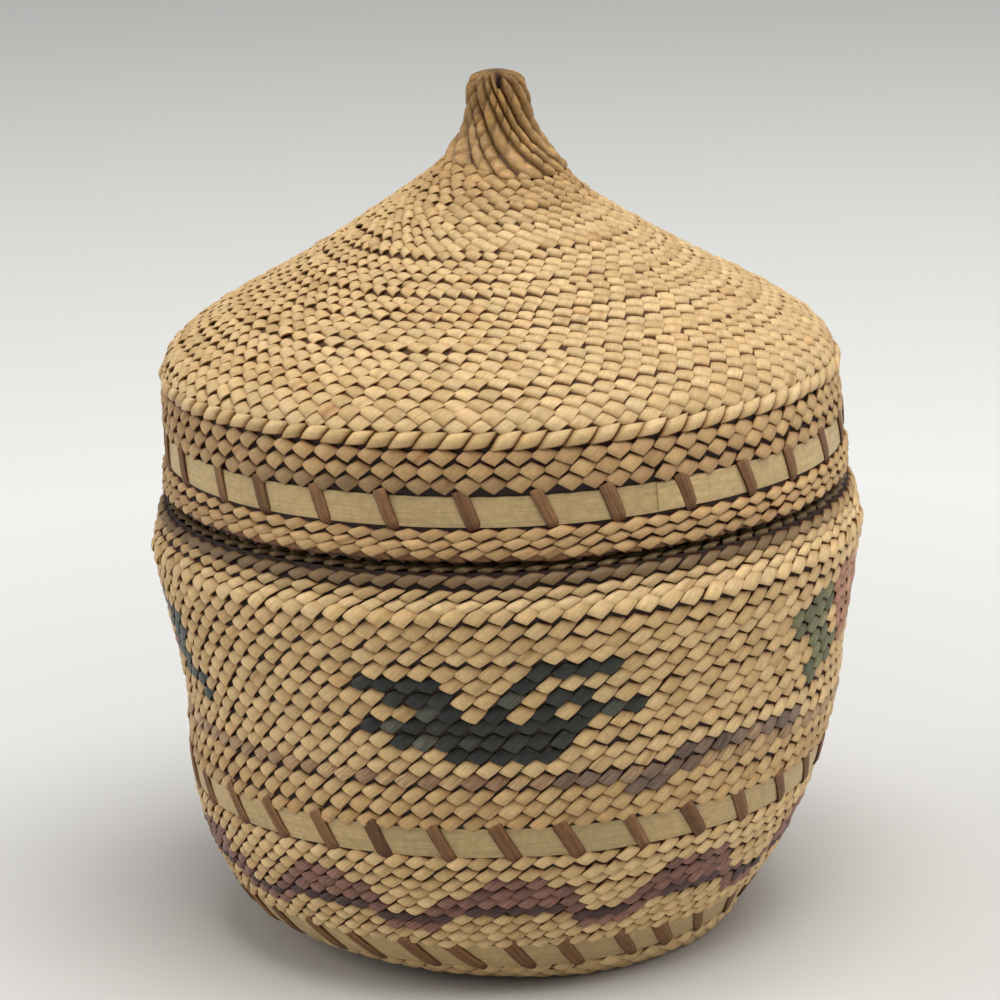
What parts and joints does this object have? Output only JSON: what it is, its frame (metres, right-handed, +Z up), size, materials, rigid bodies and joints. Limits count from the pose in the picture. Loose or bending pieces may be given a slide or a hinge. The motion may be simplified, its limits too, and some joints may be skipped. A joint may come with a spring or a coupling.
{
  "type": "lidded trinket basket",
  "caption": "Small round twined basket with a pointed lift-off lid, flat plaited strips crossed by slanted bark warps, a twisted knob and dyed bands.",
  "frame": {"origin": "on the floor under the middle of the basket", "axes": "+Z up along the basket's axis, the bird figure faces -Y, +X to its right"},
  "size_m": [0.09, 0.09, 0.1092],
  "materials": {
    "weft_grass": "matt dried grass, pale straw",
    "strip_grass": "flat split grass, slightly satin",
    "cord_grass": "matt twined grass cord",
    "knob_grass": "handled, darkened grass",
    "cedar_bark": "matt inner bark, brown",
    "charcoal_grass": "dyed grass, charcoal with a green cast",
    "purple_grass": "dyed grass, faded purple-brown",
    "green_grass": "dyed grass, faded green",
    "red_grass": "dyed grass, faded red"
  },
  "bodies": {
    "basket": {"base_plait": "cedar_bark", "base_rounds": "weft_grass", "heel_warps": "cedar_bark", "heel_strip": "strip_grass", "lower_wall": "weft_grass", "waist_warps": "cedar_bark", "waist_strip": "strip_grass", "main_wall": "weft_grass", "shoulder_cord": "cord_grass", "shoulder_wall": "weft_grass", "neck_wall": "weft_grass", "neck_rim": "cord_grass"},
    "lid": {"lid_edge": "cedar_bark", "lid_skirt": "weft_grass", "lid_warps": "cedar_bark", "lid_strip": "strip_grass", "lid_band": "weft_grass", "lid_cord": "cord_grass", "lid_crown": "weft_grass", "lid_knob": "knob_grass"}
  },
  "joints": [
    {"name": "lid_slide", "type": "slide", "parent": "basket", "child": "lid", "axis": [0, 0, 1], "range_m": [0, 0.045]}
  ]
}
